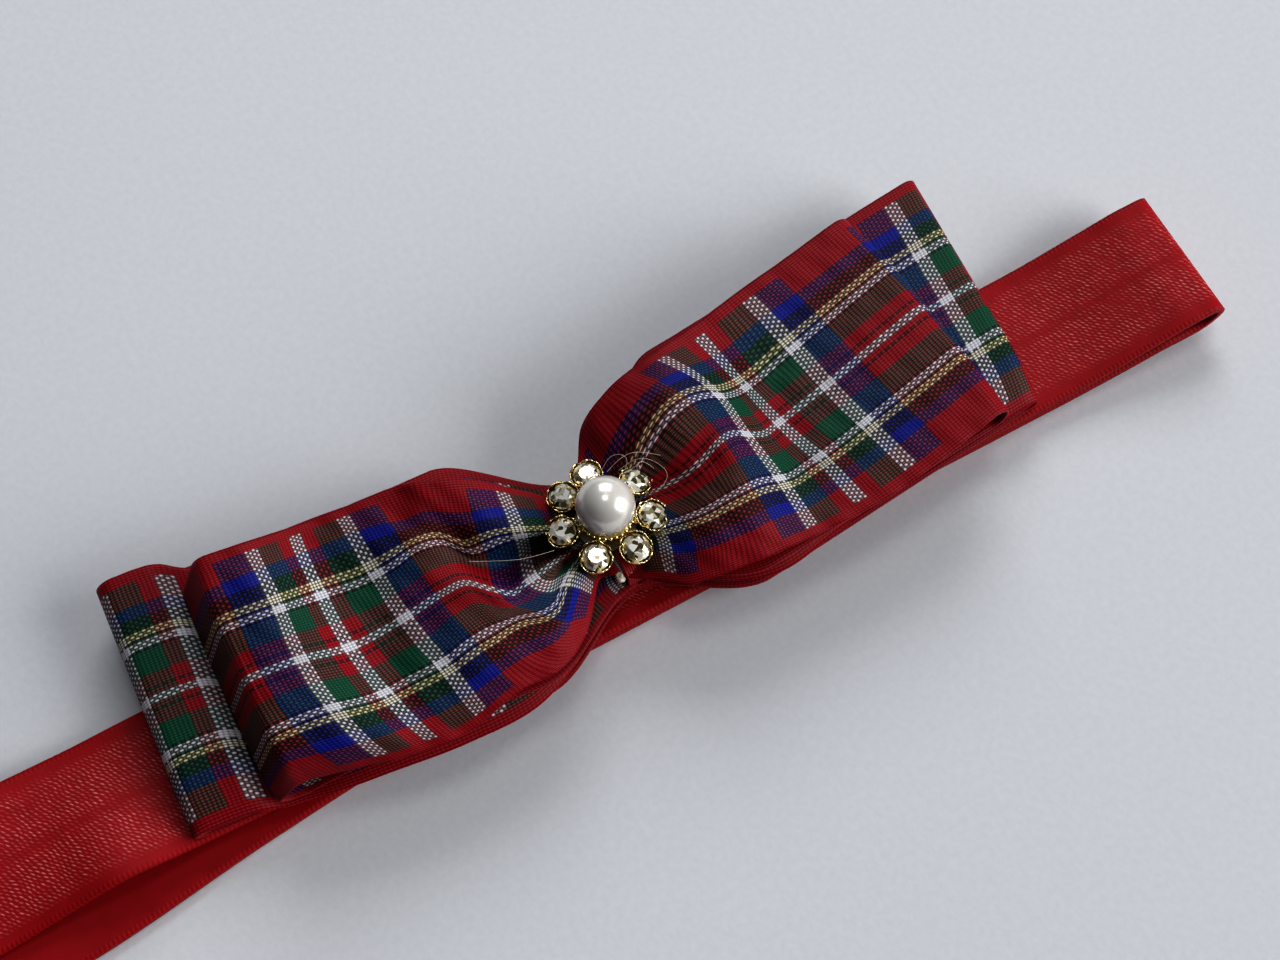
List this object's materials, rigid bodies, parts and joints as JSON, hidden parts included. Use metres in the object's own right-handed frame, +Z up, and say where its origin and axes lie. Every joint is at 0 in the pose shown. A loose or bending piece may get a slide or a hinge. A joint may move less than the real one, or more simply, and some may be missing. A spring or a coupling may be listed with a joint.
{
  "type": "hair bow headband",
  "caption": "Flat double-layer tartan ribbon bow with a pearl and crystal flower at its waist, fixed on a closed loop of red flat elastic.",
  "frame": {"origin": "on the surface that the headband lies on, straight below the bow's waist and on the elastic's centre line", "axes": "+X along the flat headband towards its short end, +Y from the bow's near edge to its far edge, +Z up through the pearl"},
  "size_m": [0.18, 0.0315, 0.0149],
  "materials": {
    "elastic": "woven red elastic with a satin outer face",
    "sewing_thread": "spun polyester thread",
    "tartan_ribbon": "plain-weave tartan ribbon, soft satin sheen",
    "hot_glue": "translucent hot-melt glue",
    "gold_metal": "polished gold-tone plating",
    "pearl": "pearlescent coating",
    "crystal": "foil-backed cut glass"
  },
  "bodies": {
    "root": {"headband_elastic": "elastic", "seam_stitches": "sewing_thread", "lower_loop_ribbon": "tartan_ribbon", "upper_loop_ribbon": "tartan_ribbon", "binding_thread": "sewing_thread", "glue_bow": "hot_glue", "glue_cluster": "hot_glue", "setting_base": "gold_metal", "pearl_cup": "gold_metal", "beaded_collar": "gold_metal", "pearl": "pearl", "stone_cup_1": "gold_metal", "stone_cup_2": "gold_metal", "stone_cup_3": "gold_metal", "stone_cup_4": "gold_metal", "stone_cup_5": "gold_metal", "stone_cup_6": "gold_metal", "stone_cup_7": "gold_metal", "rhinestone_1": "crystal", "rhinestone_2": "crystal", "rhinestone_3": "crystal", "rhinestone_4": "crystal", "rhinestone_5": "crystal", "rhinestone_6": "crystal", "rhinestone_7": "crystal"}
  },
  "joints": []
}
